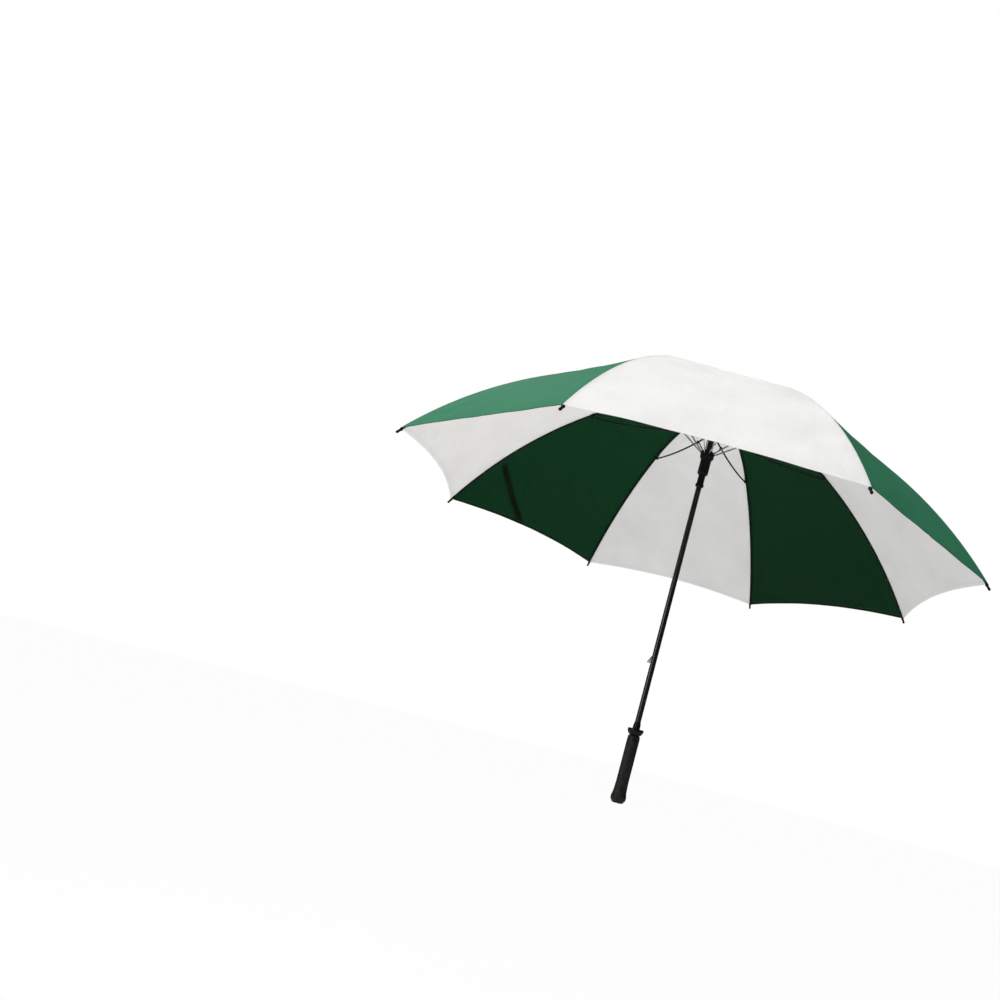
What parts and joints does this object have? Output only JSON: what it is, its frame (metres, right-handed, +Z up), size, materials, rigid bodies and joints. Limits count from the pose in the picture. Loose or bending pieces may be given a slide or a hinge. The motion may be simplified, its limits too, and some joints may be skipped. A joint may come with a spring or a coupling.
{
  "type": "golf umbrella",
  "caption": "Golf umbrella, open, with alternating green and white panels, folding ribs, stretchers and struts, a sliding runner and a straight foam grip.",
  "frame": {"origin": "centre of the bottom end of the handle, on the shaft's axis", "axes": "+Z up along the shaft to the ferrule; the catch is on the -X side; the panel centred on -Y is white"},
  "size_m": [1.2108, 1.2108, 0.975],
  "materials": {
    "shaft_black": "satin black shaft tube",
    "black_plastic": "moulded black plastic",
    "foam_grip": "closed-cell foam with a soft matte skin",
    "fibreglass_black": "black pultruded fibreglass rod",
    "bare_steel": "plated steel",
    "green_fabric": "green pongee canopy cloth",
    "white_fabric": "white pongee canopy cloth",
    "cap_white": "white cap washer"
  },
  "bodies": {
    "shaft": {"shaft_tube": "shaft_black", "ferrule": "black_plastic", "top_notch": "black_plastic", "notch_wire": "bare_steel", "top_cap": "cap_white", "grip": "foam_grip", "grip_core": "black_plastic", "end_cap": "black_plastic", "tip_cup": "black_plastic", "catch_pin": "bare_steel"},
    "runner": {"runner": "black_plastic", "runner_wire": "bare_steel", "opening_spring": "bare_steel"},
    "crown": {"stretcher_crown": "black_plastic", "crown_wire": "bare_steel"},
    "catch": {"catch": "bare_steel"},
    "rib_1": {"rib_inner_1": "fibreglass_black", "canopy_panel_1": "green_fabric"},
    "rib_end_1": {"rib_outer_1": "fibreglass_black"},
    "stretcher_1": {"stretcher_1": "fibreglass_black"},
    "strut_1": {"strut_1": "bare_steel"},
    "rib_2": {"rib_inner_2": "fibreglass_black", "canopy_panel_2": "white_fabric"},
    "rib_end_2": {"rib_outer_2": "fibreglass_black"},
    "stretcher_2": {"stretcher_2": "fibreglass_black"},
    "strut_2": {"strut_2": "bare_steel"},
    "rib_3": {"rib_inner_3": "fibreglass_black", "canopy_panel_3": "green_fabric", "tie_strap": "green_fabric"},
    "rib_end_3": {"rib_outer_3": "fibreglass_black"},
    "stretcher_3": {"stretcher_3": "fibreglass_black"},
    "strut_3": {"strut_3": "bare_steel"},
    "rib_4": {"rib_inner_4": "fibreglass_black", "canopy_panel_4": "white_fabric"},
    "rib_end_4": {"rib_outer_4": "fibreglass_black"},
    "stretcher_4": {"stretcher_4": "fibreglass_black"},
    "strut_4": {"strut_4": "bare_steel"},
    "rib_5": {"rib_inner_5": "fibreglass_black", "canopy_panel_5": "green_fabric"},
    "rib_end_5": {"rib_outer_5": "fibreglass_black"},
    "stretcher_5": {"stretcher_5": "fibreglass_black"},
    "strut_5": {"strut_5": "bare_steel"},
    "rib_6": {"rib_inner_6": "fibreglass_black", "canopy_panel_6": "white_fabric"},
    "rib_end_6": {"rib_outer_6": "fibreglass_black"},
    "stretcher_6": {"stretcher_6": "fibreglass_black"},
    "strut_6": {"strut_6": "bare_steel"},
    "rib_7": {"rib_inner_7": "fibreglass_black", "canopy_panel_7": "green_fabric"},
    "rib_end_7": {"rib_outer_7": "fibreglass_black"},
    "stretcher_7": {"stretcher_7": "fibreglass_black"},
    "strut_7": {"strut_7": "bare_steel"},
    "rib_8": {"rib_inner_8": "fibreglass_black", "canopy_panel_8": "white_fabric"},
    "rib_end_8": {"rib_outer_8": "fibreglass_black"},
    "stretcher_8": {"stretcher_8": "fibreglass_black"},
    "strut_8": {"strut_8": "bare_steel"}
  },
  "joints": [
    {"name": "runner_slide", "type": "slide", "parent": "shaft", "child": "runner", "axis": [0, 0, 1], "range_m": [-0.53102, 0], "stiffness_N_per_m": 60, "springref_m": 0.25, "deforming": ["canopy_panel_1", "canopy_panel_2", "canopy_panel_3", "canopy_panel_4", "canopy_panel_5", "canopy_panel_6", "canopy_panel_7", "canopy_panel_8", "tie_strap"]},
    {"name": "crown_slide", "type": "slide", "parent": "shaft", "child": "crown", "axis": [0, 0, 1], "range_m": [-0.56767, 0], "deforming": ["opening_spring"]},
    {"name": "catch_press", "type": "hinge", "parent": "shaft", "child": "catch", "pos_m": [-0.0024, 0, 0.36], "axis": [0, 1, 0], "range_deg": [-7, 0], "stiffness_Nm_per_rad": 0.4, "springref_deg": 8.59},
    {"name": "stretcher_1_hinge", "type": "hinge", "parent": "crown", "child": "stretcher_1", "pos_m": [0.01155, 0.00478, 0.85], "axis": [0.3827, -0.9239, 0], "range_deg": [0, 87.7]},
    {"name": "rib_1_hinge", "type": "hinge", "parent": "stretcher_1", "child": "rib_1", "pos_m": [0.29753, 0.12324, 0.85721], "axis": [0.3827, -0.9239, 0], "range_deg": [-167.05, 0]},
    {"name": "rib_end_1_hinge", "type": "hinge", "parent": "rib_1", "child": "rib_end_1", "pos_m": [0.30026, 0.12437, 0.863], "axis": [0.3827, -0.9239, 0], "range_deg": [0, 28.14]},
    {"name": "strut_1_hinge", "type": "hinge", "parent": "stretcher_1", "child": "strut_1", "pos_m": [0.06928, 0.0287, 0.8463], "axis": [0.3827, -0.9239, 0], "range_deg": [-40.23, 0]},
    {"name": "stretcher_2_hinge", "type": "hinge", "parent": "crown", "child": "stretcher_2", "pos_m": [0.00478, 0.01155, 0.85], "axis": [0.9239, -0.3827, 0], "range_deg": [0, 87.7]},
    {"name": "rib_2_hinge", "type": "hinge", "parent": "stretcher_2", "child": "rib_2", "pos_m": [0.12324, 0.29753, 0.85721], "axis": [0.9239, -0.3827, 0], "range_deg": [-167.05, 0]},
    {"name": "rib_end_2_hinge", "type": "hinge", "parent": "rib_2", "child": "rib_end_2", "pos_m": [0.12437, 0.30026, 0.863], "axis": [0.9239, -0.3827, 0], "range_deg": [0, 28.14]},
    {"name": "strut_2_hinge", "type": "hinge", "parent": "stretcher_2", "child": "strut_2", "pos_m": [0.0287, 0.06928, 0.8463], "axis": [0.9239, -0.3827, 0], "range_deg": [-40.23, 0]},
    {"name": "stretcher_3_hinge", "type": "hinge", "parent": "crown", "child": "stretcher_3", "pos_m": [-0.00478, 0.01155, 0.85], "axis": [0.9239, 0.3827, 0], "range_deg": [0, 87.7]},
    {"name": "rib_3_hinge", "type": "hinge", "parent": "stretcher_3", "child": "rib_3", "pos_m": [-0.12324, 0.29753, 0.85721], "axis": [0.9239, 0.3827, 0], "range_deg": [-167.05, 0]},
    {"name": "rib_end_3_hinge", "type": "hinge", "parent": "rib_3", "child": "rib_end_3", "pos_m": [-0.12437, 0.30026, 0.863], "axis": [0.9239, 0.3827, 0], "range_deg": [0, 28.14]},
    {"name": "strut_3_hinge", "type": "hinge", "parent": "stretcher_3", "child": "strut_3", "pos_m": [-0.0287, 0.06928, 0.8463], "axis": [0.9239, 0.3827, 0], "range_deg": [-40.23, 0]},
    {"name": "stretcher_4_hinge", "type": "hinge", "parent": "crown", "child": "stretcher_4", "pos_m": [-0.01155, 0.00478, 0.85], "axis": [0.3827, 0.9239, 0], "range_deg": [0, 87.7]},
    {"name": "rib_4_hinge", "type": "hinge", "parent": "stretcher_4", "child": "rib_4", "pos_m": [-0.29753, 0.12324, 0.85721], "axis": [0.3827, 0.9239, 0], "range_deg": [-167.05, 0]},
    {"name": "rib_end_4_hinge", "type": "hinge", "parent": "rib_4", "child": "rib_end_4", "pos_m": [-0.30026, 0.12437, 0.863], "axis": [0.3827, 0.9239, 0], "range_deg": [0, 28.14]},
    {"name": "strut_4_hinge", "type": "hinge", "parent": "stretcher_4", "child": "strut_4", "pos_m": [-0.06928, 0.0287, 0.8463], "axis": [0.3827, 0.9239, 0], "range_deg": [-40.23, 0]},
    {"name": "stretcher_5_hinge", "type": "hinge", "parent": "crown", "child": "stretcher_5", "pos_m": [-0.01155, -0.00478, 0.85], "axis": [-0.3827, 0.9239, 0], "range_deg": [0, 87.7]},
    {"name": "rib_5_hinge", "type": "hinge", "parent": "stretcher_5", "child": "rib_5", "pos_m": [-0.29753, -0.12324, 0.85721], "axis": [-0.3827, 0.9239, 0], "range_deg": [-167.05, 0]},
    {"name": "rib_end_5_hinge", "type": "hinge", "parent": "rib_5", "child": "rib_end_5", "pos_m": [-0.30026, -0.12437, 0.863], "axis": [-0.3827, 0.9239, 0], "range_deg": [0, 28.14]},
    {"name": "strut_5_hinge", "type": "hinge", "parent": "stretcher_5", "child": "strut_5", "pos_m": [-0.06928, -0.0287, 0.8463], "axis": [-0.3827, 0.9239, 0], "range_deg": [-40.23, 0]},
    {"name": "stretcher_6_hinge", "type": "hinge", "parent": "crown", "child": "stretcher_6", "pos_m": [-0.00478, -0.01155, 0.85], "axis": [-0.9239, 0.3827, 0], "range_deg": [0, 87.7]},
    {"name": "rib_6_hinge", "type": "hinge", "parent": "stretcher_6", "child": "rib_6", "pos_m": [-0.12324, -0.29753, 0.85721], "axis": [-0.9239, 0.3827, 0], "range_deg": [-167.05, 0]},
    {"name": "rib_end_6_hinge", "type": "hinge", "parent": "rib_6", "child": "rib_end_6", "pos_m": [-0.12437, -0.30026, 0.863], "axis": [-0.9239, 0.3827, 0], "range_deg": [0, 28.14]},
    {"name": "strut_6_hinge", "type": "hinge", "parent": "stretcher_6", "child": "strut_6", "pos_m": [-0.0287, -0.06928, 0.8463], "axis": [-0.9239, 0.3827, 0], "range_deg": [-40.23, 0]},
    {"name": "stretcher_7_hinge", "type": "hinge", "parent": "crown", "child": "stretcher_7", "pos_m": [0.00478, -0.01155, 0.85], "axis": [-0.9239, -0.3827, 0], "range_deg": [0, 87.7]},
    {"name": "rib_7_hinge", "type": "hinge", "parent": "stretcher_7", "child": "rib_7", "pos_m": [0.12324, -0.29753, 0.85721], "axis": [-0.9239, -0.3827, 0], "range_deg": [-167.05, 0]},
    {"name": "rib_end_7_hinge", "type": "hinge", "parent": "rib_7", "child": "rib_end_7", "pos_m": [0.12437, -0.30026, 0.863], "axis": [-0.9239, -0.3827, 0], "range_deg": [0, 28.14]},
    {"name": "strut_7_hinge", "type": "hinge", "parent": "stretcher_7", "child": "strut_7", "pos_m": [0.0287, -0.06928, 0.8463], "axis": [-0.9239, -0.3827, 0], "range_deg": [-40.23, 0]},
    {"name": "stretcher_8_hinge", "type": "hinge", "parent": "crown", "child": "stretcher_8", "pos_m": [0.01155, -0.00478, 0.85], "axis": [-0.3827, -0.9239, 0], "range_deg": [0, 87.7]},
    {"name": "rib_8_hinge", "type": "hinge", "parent": "stretcher_8", "child": "rib_8", "pos_m": [0.29753, -0.12324, 0.85721], "axis": [-0.3827, -0.9239, 0], "range_deg": [-167.05, 0]},
    {"name": "rib_end_8_hinge", "type": "hinge", "parent": "rib_8", "child": "rib_end_8", "pos_m": [0.30026, -0.12437, 0.863], "axis": [-0.3827, -0.9239, 0], "range_deg": [0, 28.14]},
    {"name": "strut_8_hinge", "type": "hinge", "parent": "stretcher_8", "child": "strut_8", "pos_m": [0.06928, -0.0287, 0.8463], "axis": [-0.3827, -0.9239, 0], "range_deg": [-40.23, 0]}
  ],
  "couplings": [
    {"joint": "crown_slide", "follows": "runner_slide", "ratio": 1.069},
    {"joint": "stretcher_1_hinge", "follows": "runner_slide", "rad_per_m": -2.8822},
    {"joint": "rib_1_hinge", "follows": "runner_slide", "rad_per_m": 5.4902},
    {"joint": "rib_end_1_hinge", "follows": "runner_slide", "rad_per_m": -0.92447},
    {"joint": "strut_1_hinge", "follows": "runner_slide", "rad_per_m": 1.3218},
    {"joint": "stretcher_2_hinge", "follows": "runner_slide", "rad_per_m": -2.8822},
    {"joint": "rib_2_hinge", "follows": "runner_slide", "rad_per_m": 5.4902},
    {"joint": "rib_end_2_hinge", "follows": "runner_slide", "rad_per_m": -0.92447},
    {"joint": "strut_2_hinge", "follows": "runner_slide", "rad_per_m": 1.3218},
    {"joint": "stretcher_3_hinge", "follows": "runner_slide", "rad_per_m": -2.8822},
    {"joint": "rib_3_hinge", "follows": "runner_slide", "rad_per_m": 5.4902},
    {"joint": "rib_end_3_hinge", "follows": "runner_slide", "rad_per_m": -0.92447},
    {"joint": "strut_3_hinge", "follows": "runner_slide", "rad_per_m": 1.3218},
    {"joint": "stretcher_4_hinge", "follows": "runner_slide", "rad_per_m": -2.8822},
    {"joint": "rib_4_hinge", "follows": "runner_slide", "rad_per_m": 5.4902},
    {"joint": "rib_end_4_hinge", "follows": "runner_slide", "rad_per_m": -0.92447},
    {"joint": "strut_4_hinge", "follows": "runner_slide", "rad_per_m": 1.3218},
    {"joint": "stretcher_5_hinge", "follows": "runner_slide", "rad_per_m": -2.8822},
    {"joint": "rib_5_hinge", "follows": "runner_slide", "rad_per_m": 5.4902},
    {"joint": "rib_end_5_hinge", "follows": "runner_slide", "rad_per_m": -0.92447},
    {"joint": "strut_5_hinge", "follows": "runner_slide", "rad_per_m": 1.3218},
    {"joint": "stretcher_6_hinge", "follows": "runner_slide", "rad_per_m": -2.8822},
    {"joint": "rib_6_hinge", "follows": "runner_slide", "rad_per_m": 5.4902},
    {"joint": "rib_end_6_hinge", "follows": "runner_slide", "rad_per_m": -0.92447},
    {"joint": "strut_6_hinge", "follows": "runner_slide", "rad_per_m": 1.3218},
    {"joint": "stretcher_7_hinge", "follows": "runner_slide", "rad_per_m": -2.8822},
    {"joint": "rib_7_hinge", "follows": "runner_slide", "rad_per_m": 5.4902},
    {"joint": "rib_end_7_hinge", "follows": "runner_slide", "rad_per_m": -0.92447},
    {"joint": "strut_7_hinge", "follows": "runner_slide", "rad_per_m": 1.3218},
    {"joint": "stretcher_8_hinge", "follows": "runner_slide", "rad_per_m": -2.8822},
    {"joint": "rib_8_hinge", "follows": "runner_slide", "rad_per_m": 5.4902},
    {"joint": "rib_end_8_hinge", "follows": "runner_slide", "rad_per_m": -0.92447},
    {"joint": "strut_8_hinge", "follows": "runner_slide", "rad_per_m": 1.3218}
  ]
}
